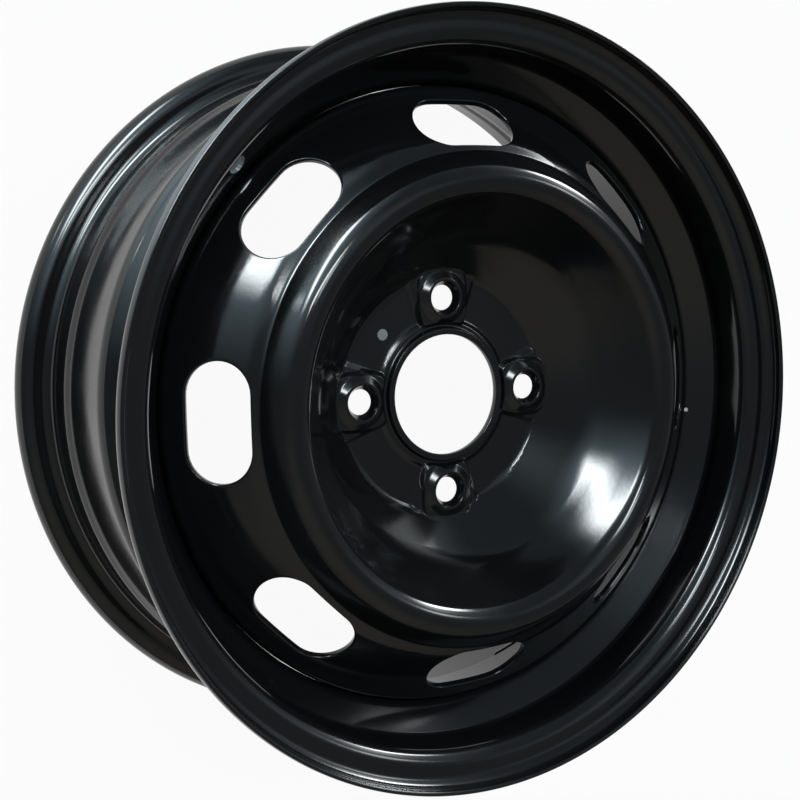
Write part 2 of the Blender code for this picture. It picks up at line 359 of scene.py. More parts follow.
def spin_path(name: str, path: Ring, closed: bool) -> bpy.types.Object:
    """Extrudes one point along a path and spins the line about the wheel's axis.

    Args:
        name: The new object's name.
        path: Points as (radius, height).
        closed: True where the last point joins the first.

    Returns:
        The turned sheet.
    """
    deselect()
    bpy.ops.mesh.primitive_circle_add(vertices=len(path), radius=START_SIZE, enter_editmode=True)
    item = bpy.context.object
    item.name = name
    mesh = bmesh.from_edit_mesh(item.data)
    mesh.verts.ensure_lookup_table()
    for vertex, point in zip(mesh.verts, path):
        vertex.co = (point.x, 0.0, point.y)
    if not closed:
        ends = {mesh.verts[0], mesh.verts[len(path) - 1]}
        mesh.edges.remove(next(edge for edge in mesh.edges if set(edge.verts) == ends))
    bmesh.update_edit_mesh(item.data)
    bpy.ops.mesh.select_all(action="SELECT")
    bpy.ops.mesh.spin(steps=SEGMENTS, angle=math.tau, center=(0.0, 0.0, 0.0), axis=(0.0, 0.0, 1.0))
    bpy.ops.object.mode_set(mode="OBJECT")
    return item


def grow_rings(name: str, rings: list[Ring], capped: bool = False) -> bpy.types.Object:
    """Extrudes a closed ring of edges through a row of rings, placing each one in turn.

    Args:
        name: The new object's name.
        rings: Rings with the same number of points.
        capped: True to fill the first and the last ring.

    Returns:
        The grown skin.
    """
    deselect()
    count = len(rings[0])
    bpy.ops.mesh.primitive_circle_add(vertices=count, radius=START_SIZE, enter_editmode=True)
    item = bpy.context.object
    item.name = name
    bpy.ops.mesh.select_mode(type="EDGE")
    for i, ring in enumerate(rings):
        if i:
            bpy.ops.mesh.extrude_edges_move()
        mesh = bmesh.from_edit_mesh(item.data)
        mesh.verts.ensure_lookup_table()
        for vertex, point in zip(mesh.verts[-count:], ring):
            vertex.co = point
        bmesh.update_edit_mesh(item.data)
        if capped and i == 0:
            bpy.ops.mesh.edge_face_add()
    if capped:
        bpy.ops.mesh.edge_face_add()
    bpy.ops.mesh.select_mode(type="VERT")
    bpy.ops.object.mode_set(mode="OBJECT")
    return item


def copies_about_axis(item: bpy.types.Object, count: int) -> list[bpy.types.Object]:
    """Copies a piece in a ring about the wheel's axis, each copy with its own mesh.

    Args:
        item: The piece, modelled at turn 0.
        count: How many there are in the full ring.

    Returns:
        The piece and its copies.
    """
    made = [item]
    for i in range(1, count):
        pick(item)
        bpy.ops.object.duplicate(linked=False)
        twin = bpy.context.object
        twin.data.transform(Matrix.Rotation(math.tau * i / count, 4, "Z"))
        made.append(twin)
    return made


def weld_together(name: str, pieces: list[bpy.types.Object]) -> bpy.types.Object:
    """Joins skins that share their edges into one closed body with its faces pointing out.

    Args:
        name: Name of the result.
        pieces: The skins.

    Returns:
        The one object.
    """
    deselect()
    for piece in pieces:
        piece.select_set(True)
    bpy.context.view_layer.objects.active = pieces[0]
    if len(pieces) > 1:
        bpy.ops.object.join()
    item = bpy.context.object
    item.name = name
    item.data.name = name
    bpy.ops.object.mode_set(mode="EDIT")
    bpy.ops.mesh.select_all(action="SELECT")
    bpy.ops.mesh.remove_doubles(threshold=MERGE)
    bpy.ops.mesh.normals_make_consistent(inside=False)
    bpy.ops.object.mode_set(mode="OBJECT")
    return item


def shade(item: bpy.types.Object, sharp: float = 50.0) -> None:
    """Shades a piece smooth, apart from edges sharper than an angle in degrees."""
    pick(item)
    bpy.ops.object.shade_smooth_by_angle(angle=math.radians(sharp))


def report(item: bpy.types.Object) -> None:
    """Logs a finished piece's size and whether its skin is closed.

    Args:
        item: The piece.
    """
    mesh = bmesh.new()
    mesh.from_mesh(item.data)
    open_edges = sum(1 for edge in mesh.edges if len(edge.link_faces) != 2)
    triangles = sum(len(face.verts) - 2 for face in mesh.faces)
    volume = mesh.calc_volume() * CM3_PER_M3
    log.info("%s: %d triangles, %d open edges, %.0f cm3", item.name, triangles, open_edges, volume)
    mesh.free()


# Finishes


class Wiring:
    """Adds nodes to a node tree and wires them up."""

    def __init__(self, tree: bpy.types.NodeTree) -> None:
        """Keeps the tree that the nodes go into."""
        self.tree = tree

    def feed(self, node: bpy.types.Node, *values: object, **named: object) -> None:
        """Links sockets to a node's inputs, and sets plain values on the others.

        Args:
            node: The node.
            values: What its first inputs get, in their order.
            named: What further inputs get, by their names with an underscore for each space.
        """
        pairs = list(zip(node.inputs, values))
        pairs += [(node.inputs[name.replace("_", " ")], value) for name, value in named.items()]
        for socket, value in pairs:
            if isinstance(value, bpy.types.NodeSocket):
                self.tree.links.new(value, socket)
            else:
                socket.default_value = value

    def node(self, kind: str, *values: object, **named: object) -> bpy.types.Node:
        """Adds a node and feeds its inputs.

        Args:
            kind: The node's type, without the word ShaderNode before it.
            values: What its first inputs get, in their order.
            named: What further inputs get, by name.

        Returns:
            The node.
        """
        made = self.tree.nodes.new("ShaderNode" + kind)
        self.feed(made, *values, **named)
        return made

    def vector(self, operation: str, *values: object) -> bpy.types.Node:
        """Adds a vector maths node.

        Args:
            operation: What it works out.
            values: What its inputs get.

        Returns:
            The node.
        """
        made = self.node("VectorMath")
        made.operation = operation
        self.feed(made, *values)
        return made

    def number(self, operation: str, *values: object) -> bpy.types.NodeSocket:
        """Adds a maths node.

        Args:
            operation: What it works out.
            values: What its inputs get.

        Returns:
            Its result.
        """
        made = self.node("Math")
        made.operation = operation
        self.feed(made, *values)
        return made.outputs["Value"]

    def soft_step(self, value: bpy.types.NodeSocket, start: float, end: float) -> bpy.types.NodeSocket:
        """Adds a smooth step from 0 to 1.

        Args:
            value: What is read.
            start: Its value where the step is 0.
            end: Its value where the step is 1.

        Returns:
            The step.
        """
        made = self.node("MapRange", value, start, end)
        made.interpolation_type = "SMOOTHSTEP"
        return made.outputs["Result"]

    def noise(self, place: bpy.types.NodeSocket, **settings: float) -> bpy.types.NodeSocket:
        """Adds a noise pattern that follows the piece."""
        return self.node("TexNoise", Vector=place, **settings).outputs["Fac"]


def new_material(name: str) -> tuple[bpy.types.Material, Wiring]:
    """Starts a material.

    Args:
        name: Its name.

    Returns:
        The material and the wiring of its nodes.
    """
    material = bpy.data.materials.new(name)
    material.use_nodes = True
    return material, Wiring(material.node_tree)


def scaled(colour: Colour, gain: float) -> Colour:
    """A colour made lighter or darker."""
    return tuple(value * gain for value in colour[:3]) + (1.0,)


@dataclass(frozen=True)
class GlossPaint:
    """Deep gloss black paint over pressed steel."""

    name: str = "gloss_black_paint"
    colour: Colour = (0.0042, 0.0045, 0.0050, 1.0)
    tone_gain: float = 1.5
    refraction: float = 1.5
    roughness_low: float = 0.09
    roughness_high: float = 0.15
    haze_scale: float = 26.0
    haze_detail: float = 5.0
    haze_low: float = 0.35
    haze_high: float = 0.70
    peel_scale: float = 420.0
    peel_depth: float = 0.000012
    wave_scale: float = 38.0
    wave_depth: float = 0.00010
    relief_detail: float = 1.0

    def material(self) -> bpy.types.Material:
        """Builds the paint: a dark base, an uneven gloss, fine orange peel and slow press waves.

        Returns:
            The material.
        """
        material, wiring = new_material(self.name)
        place = wiring.node("TexCoord").outputs["Object"]
        haze = wiring.noise(place, Scale=self.haze_scale, Detail=self.haze_detail)
        gloss = wiring.node("MapRange", haze, self.haze_low, self.haze_high, self.roughness_low,
                            self.roughness_high)
        tone = wiring.node("MixRGB", haze, self.colour, scaled(self.colour, self.tone_gain))
        wave = wiring.noise(place, Scale=self.wave_scale, Detail=self.relief_detail)
        slow = wiring.node("Bump", Strength=1.0, Distance=self.wave_depth, Height=wave)
        peel = wiring.noise(place, Scale=self.peel_scale, Detail=self.relief_detail)
        fine = wiring.node("Bump", Strength=1.0, Distance=self.peel_depth, Height=peel,
                           Normal=slow.outputs["Normal"])
        wiring.feed(material.node_tree.nodes["Principled BSDF"], IOR=self.refraction,
                    Roughness=gloss.outputs["Result"], Base_Color=tone.outputs["Color"],
                    Normal=fine.outputs["Normal"])
        return material


@dataclass(frozen=True)
class MarkAndGlintPaint:
    """A small dab of pale paint, for the hub's marking dot and for the painted glint of the rim's nib."""

    name: str
    colour: Colour
    roughness: float = 0.45
    tone_gain: float = 0.7
    tone_scale: float = 900.0

    def material(self) -> bpy.types.Material:
        """Builds a pale paint with a slightly uneven tone.

        Returns:
            The material.
        """
        material, wiring = new_material(self.name)
        place = wiring.node("TexCoord").outputs["Object"]
        tone = wiring.noise(place, Scale=self.tone_scale)
        blend = wiring.node("MixRGB", tone, self.colour, scaled(self.colour, self.tone_gain))
        wiring.feed(material.node_tree.nodes["Principled BSDF"], Roughness=self.roughness,
                    Base_Color=blend.outputs["Color"])
        return material


# The wheel's sub-assemblies


@dataclass
class WheelSizes:
    """Sizes that the rim and the disc share."""

    seat_radius: float = 0.1901
    rim_width: float = 0.1524
    rim_sheet: float = 0.0024
    disc_sheet: float = 0.0036
    inner_face: float = 0.0128300
    well_radius: float = 0.1728
    press_gap: float = 0.0003
    floor_level: float = 0.12213

    @property
    def outer_face(self) -> float:
        """Level of the outboard flange's tyre-side face."""
        return self.inner_face + self.rim_width

    @property
    def well_bore(self) -> float:
        """Radius of the well's air side."""
        return self.well_radius - self.rim_sheet


@dataclass
class Rim:
    """The rolled drop-centre rim."""

    sizes: WheelSizes
    flange_height: float = 0.0175
    curl: float = 0.009
    lip_angle: float = math.radians(20)
    lip_tail: float = 0.0008
    heel_bend: float = 0.0065
    seat_taper: float = math.radians(5)
    hump_foot: float = 0.0175
    hump_rise: float = 0.0017
    hump_bend: float = 0.005
    outer_crest: float = 0.024
    inner_crest: float = 0.0215
    inner_hump_end: float = 0.027
    well_floor: float = 0.0247
    well_bend: float = 0.0065
    outer_wall: float = math.radians(50)
    inner_wall: float = math.radians(46)
    ledge_drop: float = 0.0029
    ledge_bend: float = 0.008
    valve_hole: float = 0.0113
    valve_turn: float = math.radians(135)
    punch_depth: float = 0.014
    punch_sides: int = 64
    arc_step: float = math.radians(7.5)
    edge_round: float = 0.0008

    def _seat(self, distance: float) -> float:
        """Radius of the tapered bead seat at a distance from its flange."""
        return self.sizes.seat_radius - distance * math.tan(self.seat_taper)

    def _lip(self, level: float, side: int) -> tuple[Corner, Corner]:
        """Free edge and curl corner of one flange.

        Args:
            level: Level of the flange's tyre-side face.
            side: +1 outboard, -1 inboard.

        Returns:
            The free edge and the curl's corner.
        """
        centre = Vector((self.sizes.seat_radius + self.flange_height - self.curl, level + side * self.curl))
        half_turn = (math.pi / 2 + self.lip_angle) / 2
        aim = (self.lip_angle - math.pi / 2) / 2
        corner = centre + Vector((math.cos(aim), side * math.sin(aim))) * self.curl / math.cos(half_turn)
        end = centre + Vector((math.cos(self.lip_angle), side * math.sin(self.lip_angle))) * self.curl
        end += Vector((-math.sin(self.lip_angle), side * math.cos(self.lip_angle))) * self.lip_tail
        return Corner(end.x, end.y), Corner(corner.x, corner.y, self.curl - self.sizes.rim_sheet)

    def _corners(self) -> list[Corner]:
        """The tyre side's corners, from the outboard lip to the inboard one.

        Returns:
            The corners.
        """
        sizes = self.sizes
        outer_end, outer_curl = self._lip(sizes.outer_face, 1)
        inner_end, inner_curl = self._lip(sizes.inner_face, -1)
        crest = self._seat(self.outer_crest) + self.hump_rise
        crest_level = sizes.outer_face - self.outer_crest
        well_start = crest_level - (crest - sizes.well_radius) / math.tan(self.outer_wall)
        well_end = well_start - self.well_floor
        ledge = sizes.seat_radius - self.ledge_drop
        ledge_level = well_end - (ledge - sizes.well_radius) / math.tan(self.inner_wall)
        return [
            outer_end,
            outer_curl,
            Corner(sizes.seat_radius, sizes.outer_face, self.heel_bend),
            Corner(self._seat(self.hump_foot), sizes.outer_face - self.hump_foot, self.hump_bend),
            Corner(crest, crest_level, self.hump_bend),
            Corner(sizes.well_radius, well_start, self.well_bend),
            Corner(sizes.well_radius, well_end, self.well_bend),
            Corner(ledge, ledge_level, self.ledge_bend),
            Corner(ledge, sizes.inner_face + self.inner_hump_end, self.hump_bend),
            Corner(self._seat(self.inner_crest) + self.hump_rise, sizes.inner_face + self.inner_crest,
                   self.hump_bend),
            Corner(self._seat(self.hump_foot), sizes.inner_face + self.hump_foot, self.hump_bend),
            Corner(sizes.seat_radius, sizes.inner_face, self.heel_bend),
            inner_curl,
            inner_end,
        ]

    def _section(self) -> BentSheet:
        """The rolled section."""
        return BentSheet(self._corners(), self.sizes.rim_sheet, self.arc_step, self.edge_round)

    def build(self) -> bpy.types.Object:
        """Spins the rolled section and punches the valve hole.

        Returns:
            The rim.
        """
        outline = self._section().outline()
        rim = weld_together("rim_shell", [spin_path("rim_shell", outline, True)])
        self._punch_valve(rim)
        shade(rim)
        return rim

    def wall_spot(self, radius: float) -> tuple[Vector, Vector]:
        """A place on the air side of the well's outboard wall, and the direction off it.

        Args:
            radius: Distance from the wheel's axis.

        Returns:
            The place and the direction, as (radius, height).
        """
        sheet = self._section()
        run = sheet.runs[RIM_WALL]
        start = sheet.far[RIM_WALL][-1]
        return start + run * ((radius - start.x) / run.x), right_of(run)

    def _punch_valve(self, rim: bpy.types.Object) -> None:
        """Punches the valve hole square through the well's outboard wall.

        Args:
            rim: The turned rim.
        """
        corners = self._corners()
        middle = (corners[RIM_WALL].point() + corners[RIM_WALL + 1].point()) / 2
        deselect()
        bpy.ops.mesh.primitive_cylinder_add(vertices=self.punch_sides, radius=self.valve_hole / 2,
                                            depth=self.punch_depth)
        punch = bpy.context.object
        lean = Matrix.Rotation(self.outer_wall - math.pi / 2, 4, "Y")
        place = Matrix.Rotation(self.valve_turn, 4, "Z") @ Matrix.Translation((middle.x, 0.0, middle.y))
        punch.data.transform(place @ lean)
        pick(rim)
        cut = rim.modifiers.new("valve", "BOOLEAN")
        cut.object = punch
        cut.solver = "EXACT"
        bpy.ops.object.modifier_apply(modifier="valve")
        bpy.data.objects.remove(punch)


@dataclass
class Disc:
    """The pressed disc: hub floor, bowl, crown, vent cone and flange.

    The waist and the belly are the bowl's own curve, which the solids have as one straight wall.
    """

    sizes: WheelSizes
    bore: float = 0.067
    bore_lip: float = 0.0035
    bore_bend: float = 0.0015
    bowl_foot: float = 0.0667
    bowl_bend: float = 0.0030
    waist_radius: float = 0.0890
    waist_rise: float = 0.0188
    waist_bend: float = 0.048
    belly_radius: float = 0.1010
    belly_rise: float = 0.0359
    belly_bend: float = 0.150
    crown_radius: float = 0.1165
    crown_rise: float = 0.0628
    crown_bend: float = 0.0062
    shoulder_radius: float = 0.1325
    shoulder_rise: float = 0.0406
    shoulder_bend: float = 0.004
    cone_top: float = 0.1385
    cone_bend: float = 0.006
    cone_angle: float = math.radians(42)
    cone_foot_rise: float = 0.0089
    flange_bend: float = 0.0064
    flange: float = 0.025
    arc_step: float = math.radians(6.5)
    edge_round: float = 0.0005

    vents: int = 8
    vent_circle: float = 0.1487
    vent_length: float = 0.0608
    vent_width: float = 0.0333
    vent_roll: float = 0.0009
    vent_burr: float = 0.0004
    vent_rows: int = 12
    panel_top: float = 0.0008
    panel_foot: float = 0.0006

    bolts: int = 4
    bolt_circle: float = 0.108
    bolt_hole: float = 0.014
    bolt_hole_bend: float = 0.0003
    seat_mouth: float = 0.019
    seat_angle: float = math.radians(60)
    seat_bend: float = 0.0005
    boss_base: float = 0.030
    boss_top: float = 0.022
    boss_rise: float = 0.0025
    boss_skirt: float = 0.0030
    boss_bend: float = 0.0014
    boss_arc_step: float = math.radians(14)
    dimple_mouth: float = 0.026
    dimple_mouth_bend: float = 0.0010
    dimple_top: float = 0.017
    dimple_top_bend: float = 0.0008
    dimple_depth: float = 0.0012

    hub_inner: float = 0.03872
    hub_inner_ramp: float = 0.0015
    hub_outer: float = 0.0760
    hub_outer_gap: float = 0.0010
    hub_rows: int = 15
    lip_share: float = 0.6
    boss_ring: float = 0.0148
    front_rings: int = 23
    rear_rings: int = 8
    aim_share: float = 0.5
    land_drop: float = 0.0015
    land_inner: float = 0.040
    land_ramp: float = 0.0034
    land_margin: float = 0.0010
    pad_reach: float = 0.0185
    pad_side: float = 0.0172
    pad_rise: float = 0.0022
    pad_power: int = 4
    pad_start: float = 0.84
    pad_ramp: float = 0.0020
    foot_blend: float = 0.0013
    foot_blend_rear: float = 0.0023

    def _corners(self) -> list[Corner]:
        """The outboard face's corners, from the bore's lip out to the end of the flange.

        Returns:
            The corners.
        """
        floor = self.sizes.floor_level
        foot = self.sizes.well_bore - self.sizes.press_gap
        foot_level = floor + self.cone_foot_rise
        lip = self.bore / 2 + self.sizes.disc_sheet
        return [
            Corner(lip, floor + self.bore_lip),
            Corner(lip, floor, self.bore_bend),
            Corner(self.bowl_foot, floor, self.bowl_bend),
            Corner(self.waist_radius, floor + self.waist_rise, self.waist_bend),
            Corner(self.belly_radius, floor + self.belly_rise, self.belly_bend),
            Corner(self.crown_radius, floor + self.crown_rise, self.crown_bend),
            Corner(self.shoulder_radius, floor + self.shoulder_rise, self.shoulder_bend),
            Corner(self.cone_top, foot_level + (foot - self.cone_top) * math.tan(self.cone_angle),
                   self.cone_bend),
            Corner(foot, foot_level, self.flange_bend),
            Corner(foot, foot_level - self.flange),
        ]

    def build(self) -> bpy.types.Object:
        """Makes the turned strips, the vent panels and the bolt panels, and joins them to one sheet.

        Returns:
            The disc.
        """
        sheet = BentSheet(self._corners(), self.sizes.disc_sheet, self.arc_step, self.edge_round)
        pieces = [
            spin_path("bore_lip", self._lip_strip(sheet), False),
            spin_path("bowl_front", self._bowl_strip(sheet, Side.FRONT), False),
            spin_path("bowl_rear", self._bowl_strip(sheet, Side.REAR), False),
            spin_path("flange", self._flange_strip(sheet), False),
        ]
        pieces += copies_about_axis(self._vent_panel(sheet), self.vents)
        pieces += copies_about_axis(self._bolt_panel(), self.bolts)
        disc = weld_together("disc_shell", pieces)
        shade(disc)
        return disc

    def _lip_strip(self, sheet: BentSheet) -> Ring:
        """Path round the bore's lip, from the floor's front to its rear.

        Args:
            sheet: The disc's section.

        Returns:
            Points along the path.
        """
        floor = self.sizes.floor_level
        back = floor - self.sizes.disc_sheet
        up_near, up_far = sheet.straight(DiscCorner.LIP_END)
        path = [Vector((self.hub_inner, floor))]
        path += sheet.near[DiscCorner.LIP_FOOT][::-1] + up_near[::-1]
        path += sheet.cap(False)
        path += up_far + sheet.far[DiscCorner.LIP_FOOT]
        path += [Vector((mix(sheet.far[DiscCorner.LIP_FOOT][-1].x, self.hub_inner, self.lip_share), back))]
        path += [Vector((self.hub_inner, back))]
        return path

    def _bowl_strip(self, sheet: BentSheet, side: Side) -> Ring:
        """Path from the hub floor up the bowl, over the crown and down to the vent panels.

        Args:
            sheet: The disc's section.
            side: Which face of the sheet.

        Returns:
            Points along that face.
        """
        bends = (sheet.near, sheet.far)[side.value]
        wall = sheet.straight(DiscCorner.BOWL_FOOT)[side.value]
        path = [Vector((self.hub_outer, self.sizes.floor_level + self._wall_rise(self.hub_outer, side)))]
        path += [point for point in wall if point.x > self.hub_outer + self.hub_outer_gap]
        for i in range(DiscCorner.WAIST, DiscCorner.SHOULDER):
            path += bends[i] + sheet.straight(i)[side.value]
        path += bends[DiscCorner.SHOULDER]
        path += [sheet.along(DiscCorner.SHOULDER, self.panel_top)[side.value]]
        return path

    def _flange_strip(self, sheet: BentSheet) -> Ring:
        """Path from the vent panels' foot round the flange and back to their rear.

        Args:
            sheet: The disc's section.

        Returns:
            Points along the path.
        """
        start_near, start_far = sheet.along(DiscCorner.CONE_TOP, -self.panel_foot)
        down_near, down_far = sheet.straight(DiscCorner.CONE_FOOT)
        path = [start_near] + sheet.near[DiscCorner.CONE_FOOT] + down_near
        path += sheet.cap(True)
        path += down_far[::-1] + sheet.far[DiscCorner.CONE_FOOT][::-1] + [start_far]
        return path

    def _vent_panel(self, sheet: BentSheet) -> bpy.types.Object:
        """One eighth of the cone with its oval slot, both faces and the slot's wall.

        Args:
            sheet: The disc's section.

        Returns:
            The panel at turn 0.
        """
        panel = VentPanel(
            angle=self.cone_angle,
            centre=Vector((self.vent_circle, self._cone_level(self.vent_circle))),
            length=self.vent_length,
            width=self.vent_width,
            span=math.tau / self.vents,
            columns=SEGMENTS // self.vents,
            rows=self.vent_rows,
            roll=self.vent_roll,
            burr=self.vent_burr,
            front=self._panel_path(sheet, Side.FRONT),
            rear=self._panel_path(sheet, Side.REAR),
        )
        return grow_rings("vent_panel", panel.rings())

    def _cone_level(self, radius: float) -> float:
        """Height of the cone's front face at a radius."""
        foot = self.sizes.well_bore - self.sizes.press_gap
        return self.sizes.floor_level + self.cone_foot_rise + (foot - radius) * math.tan(self.cone_angle)

    def _panel_path(self, sheet: BentSheet, side: Side) -> Ring:
        """Path down the cone between the bowl strip and the flange strip.

        Args:
            sheet: The disc's section.
            side: Which face of the sheet.

        Returns:
            Points along that face.
        """
        start = sheet.along(DiscCorner.SHOULDER, self.panel_top)[side.value]
        end = sheet.along(DiscCorner.CONE_TOP, -self.panel_foot)[side.value]
        return [start] + (sheet.near, sheet.far)[side.value][DiscCorner.CONE_TOP] + [end]

    def _wall_rise(self, radius: float, side: Side) -> float:
        """Height of one face of the bowl's lowest wall over the floor's front, run on below the floor.

        Args:
            radius: Distance from the wheel's axis.
            side: Which face of the sheet.

        Returns:
            The height.
        """
        slope = math.atan2(self.waist_rise, self.waist_radius - self.bowl_foot)
        rise = (radius - self.bowl_foot) * math.tan(slope)
        return rise if side is Side.FRONT else rise - self.sizes.disc_sheet / math.cos(slope)

    def _floor_shift(self, x: float, y: float) -> float:
        """How far the hub floor stands off its level: back between the bolts, forward in each bolt's pad.

        Args:
            x: Place near the bolt on +X.
            y: Place across it.

        Returns:
            The shift, the same on both faces.
        """
        radius = math.hypot(x, y)
        turn = abs(math.atan2(y, x))
        axis = self.bolt_circle / 2
        boss_turn = math.asin((self.boss_base / 2 + self.land_margin) / axis)
        across = ease(radius, self.land_inner, self.land_inner + self.land_ramp)
        press = self.land_drop * across * ease((turn - boss_turn) * axis, 0.0, self.land_ramp)
        corner = abs((x - axis) / self.pad_reach) ** self.pad_power + abs(y / self.pad_side) ** self.pad_power
        pad = self.pad_rise * (1.0 - ease(corner ** (1 / self.pad_power), self.pad_start, 1.0))
        pad *= ease(radius, self.hub_inner, self.hub_inner + self.pad_ramp)
        return pad - press

    def _floor_rise(self, x: float, y: float, side: Side) -> float:
        """Height of one face of the pressed hub floor, run into the bowl's wall with a tight bend.

        Args:
            x: Place near the bolt on +X.
            y: Place across it.
            side: Which face of the sheet.

        Returns:
            The height over the floor's front level.
        """
        level = self._floor_shift(x, y)
        wall = self._wall_rise(math.hypot(x, y), side)
        blend = self.foot_blend
        if side is Side.REAR:
            level -= self.sizes.disc_sheet
            blend = self.foot_blend_rear
        overlap = max(0.0, blend - abs(level - wall))
        return max(level, wall) + overlap ** 2 / (4 * blend)

    def _boss_section(self) -> Ring:
        """The bolt boss's outline, in to its hole on the front and out again on the rear.

        Returns:
            Points as (distance from the bolt's axis, rise over the floor's front).
        """
        slope = math.tan(self.seat_angle / 2)
        drop = (self.seat_mouth - self.bolt_hole) / 2 / slope
        back = -self.sizes.disc_sheet
        skirt = self.boss_base / 2 + self.boss_skirt
        corners = [
            Corner(skirt, 0.0),
            Corner(self.boss_base / 2, 0.0, self.boss_skirt),
            Corner(self.boss_top / 2, self.boss_rise, self.boss_bend),
            Corner(self.seat_mouth / 2, self.boss_rise, self.seat_bend),
            Corner(self.bolt_hole / 2, self.boss_rise - drop, self.seat_bend),
            Corner(self.bolt_hole / 2, back + self.dimple_depth, self.bolt_hole_bend),
            Corner(self.dimple_top / 2, back + self.dimple_depth, self.dimple_top_bend),
            Corner(self.dimple_mouth / 2, back, self.dimple_mouth_bend),
            Corner(skirt, back),
        ]
        section = BentSheet(corners, 0.0, self.boss_arc_step)
        return [point for bend in section.near for point in bend]

    def _bolt_panel(self) -> bpy.types.Object:
        """A quarter of the hub floor with its boss, tapered seat, hole and dimpled back.

        Returns:
            The panel at turn 0.
        """
        floor = self.sizes.floor_level
        axis = self.bolt_circle / 2
        section = self._boss_section()
        split = next(i for i, point in enumerate(section) if point.x <= self.bolt_hole / 2 + TOUCH)
        front_path = section[:split]
        rear_path = section[split:][::-1]
        outer = self._hub_edge()
        aims = self._bolt_aims(outer)

        def place(flat: Vector, side: Side) -> Vector:
            """A point of the floor lifted to the boss or its dimple, and to the pressed floor.

            Args:
                flat: The point seen from the front.
                side: Which face of the sheet.

            Returns:
                The point in space.
            """
            distance = math.hypot(flat.x - axis, flat.y)
            if side is Side.FRONT:
                level = read_path(front_path, distance)
            else:
                level = read_path(rear_path, distance) + self.sizes.disc_sheet
            level *= ease(flat.length, self.hub_inner, self.hub_inner + self.hub_inner_ramp)
            return Vector((flat.x, flat.y, floor + level + self._floor_rise(flat.x, flat.y, side)))

        def spread(side: Side, count: int) -> list[Ring]:
            """Rings from the boss out to the panel's edge.

            Args:
                side: Which face of the sheet.
                count: How many.

            Returns:
                The rings, the edge last.
            """
            columns = []
            for aim, end in zip(aims, outer):
                start = Vector((axis + aim.x * self.boss_ring, aim.y * self.boss_ring))
                length = (end - start).length
                shares = crowd(lambda share: place(start.lerp(end, share), side).z, length, count)
                columns.append([place(start.lerp(end, share), side) for share in shares[1:]])
            return [list(ring) for ring in zip(*columns)]

        rings = spread(Side.FRONT, self.front_rings)[::-1]
        for point in section:
            if point.x > self.boss_ring:
                continue
            ring = [Vector((axis + aim.x * point.x, aim.y * point.x)) for aim in aims]
            rings.append([Vector((p.x, p.y, floor + point.y + self._floor_shift(p.x, p.y))) for p in ring])
        rings += spread(Side.REAR, self.rear_rings)
        return grow_rings("bolt_panel", rings)

    def _bolt_aims(self, edge: Ring) -> Ring:
        """Directions from the bolt's axis, between the one to a point of the edge and an even turn.

        Args:
            edge: The panel's edge.

        Returns:
            One direction for each point of the edge.
        """
        aims = []
        for i, point in enumerate(edge):
            true_turn = math.atan2(point.y, point.x - self.bolt_circle / 2) % math.tau
            even_turn = (math.tau * i / len(edge) - math.pi / 2) % math.tau
            gap = (true_turn - even_turn + math.pi) % math.tau - math.pi
            turn = even_turn + gap * self.aim_share
            aims.append(Vector((math.cos(turn), math.sin(turn))))
        return aims

    def _hub_edge(self) -> Ring:
        """Edge of one hub panel, anticlockwise: outer arc, side, inner arc, side.

        Returns:
            Points seen from the front.
        """
        half = math.pi / self.bolts
        columns = SEGMENTS // self.bolts
        aim = Vector((math.cos(half), math.sin(half)))
        start = aim * self.hub_inner
        end = aim * self.hub_outer

        def height(share: float) -> float:
            """Height of the floor's front along the panel's side."""
            spot = start.lerp(end, share)
            return self._floor_rise(spot.x, spot.y, Side.FRONT)

        shares = crowd(height, self.hub_outer - self.hub_inner, self.hub_rows)
        radii = [mix(self.hub_inner, self.hub_outer, share) for share in shares]
        edge: Ring = []
        for i in range(columns):
            turn = mix(-half, half, i / columns)
            edge.append(Vector((math.cos(turn), math.sin(turn))) * self.hub_outer)
        edge += [aim * radius for radius in radii[:0:-1]]
        for i in range(columns):
            turn = mix(half, -half, i / columns)
            edge.append(Vector((math.cos(turn), math.sin(turn))) * self.hub_inner)
        edge += [Vector((aim.x, -aim.y)) * radius for radius in radii[:-1]]
        return edge


def read_path(path: Ring, distance: float) -> float:
    """Height of a falling-distance path at a distance, held at its ends.

    Args:
        path: Points (distance, height) with the distance never rising.
        distance: Where to read it.

    Returns:
        The height.
    """
    if distance >= path[0].x:
        return path[0].y
    for a, b in zip(path, path[1:]):
        if b.x <= distance <= a.x:
            span = a.x - b.x
            return a.y if span < TINY else mix(a.y, b.y, (a.x - distance) / span)
    return path[-1].y


@dataclass
class FacePath:
    """One face of the cone's section, read by its running length."""

    points: Ring

    def __post_init__(self) -> None:
        """Adds up the running lengths."""
        self.lengths = [0.0]
        for a, b in zip(self.points, self.points[1:]):
            self.lengths.append(self.lengths[-1] + (b - a).length)

    def at(self, distance: float) -> Vector:
        """The point at a running length, past the ends along the end straights.

        Args:
            distance: The running length.

        Returns:
            The point as (radius, height).
        """
        last = len(self.points) - 2
        i = next((k for k in range(last) if distance <= self.lengths[k + 1]), last)
        share = (distance - self.lengths[i]) / (self.lengths[i + 1] - self.lengths[i])
        return self.points[i].lerp(self.points[i + 1], share)


